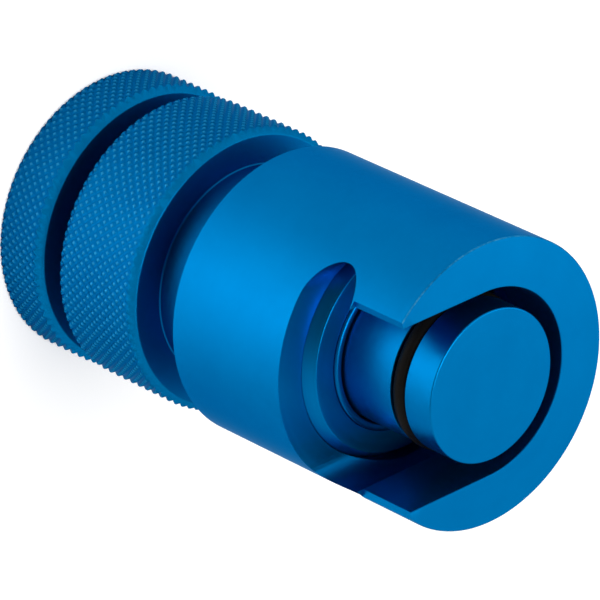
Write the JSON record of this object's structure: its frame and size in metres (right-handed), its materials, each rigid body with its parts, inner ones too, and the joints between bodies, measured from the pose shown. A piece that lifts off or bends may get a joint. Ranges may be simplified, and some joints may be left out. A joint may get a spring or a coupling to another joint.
{
  "type": "pressure test plug",
  "caption": "Hand-turned pressure test plug: a side slot and groove hold a beaded tube end while a spigot with a round seal closes its bore.",
  "frame": {"origin": "centre of the rear knob's flat end face, on which the plug stands", "axes": "+Z along the plug's axis towards the slotted face, -Y straight out of the side slot"},
  "size_m": [0.03, 0.03, 0.056],
  "materials": {
    "blue_aluminium": "satin blue anodised",
    "blue_knob_aluminium": "knurled, satin blue anodised",
    "washer_plastic": "natural acetal",
    "spring_steel": "bright spring wire",
    "seal_rubber": "matte black",
    "screw_steel": "zinc plated"
  },
  "bodies": {
    "housing": {"housing": "blue_aluminium"},
    "pressure_ring": {"pressure_ring": "blue_aluminium", "thrust_washer": "washer_plastic", "snap_ring": "spring_steel"},
    "clamp_knob": {"clamp_knob": "blue_knob_aluminium"},
    "seal": {"seal_ring": "seal_rubber"},
    "plunger": {"plunger": "blue_aluminium", "rear_knob": "blue_knob_aluminium", "knob_screw": "screw_steel"}
  },
  "joints": [
    {"name": "clamp_travel", "type": "slide", "parent": "housing", "child": "pressure_ring", "axis": [0, 0, 1], "range_m": [-0.0012, 0.0048]},
    {"name": "clamp_knob_turn", "type": "hinge", "parent": "pressure_ring", "child": "clamp_knob", "pos_m": [0, 0, 0.0148], "axis": [0, 0, 1], "range_deg": [-288.1, 1152.1]},
    {"name": "plunger_travel", "type": "slide", "parent": "clamp_knob", "child": "seal", "axis": [0, 0, 1], "range_m": [-0.014, 0.003]},
    {"name": "plunger_turn", "type": "hinge", "parent": "seal", "child": "plunger", "pos_m": [0, 0, 0.003], "axis": [0, 0, 1], "range_deg": [-2520.1, 540.1]}
  ],
  "couplings": [
    {"joint": "clamp_knob_turn", "follows": "clamp_travel", "rad_per_m": 4188.8},
    {"joint": "plunger_turn", "follows": "plunger_travel", "rad_per_m": 3141.6}
  ]
}
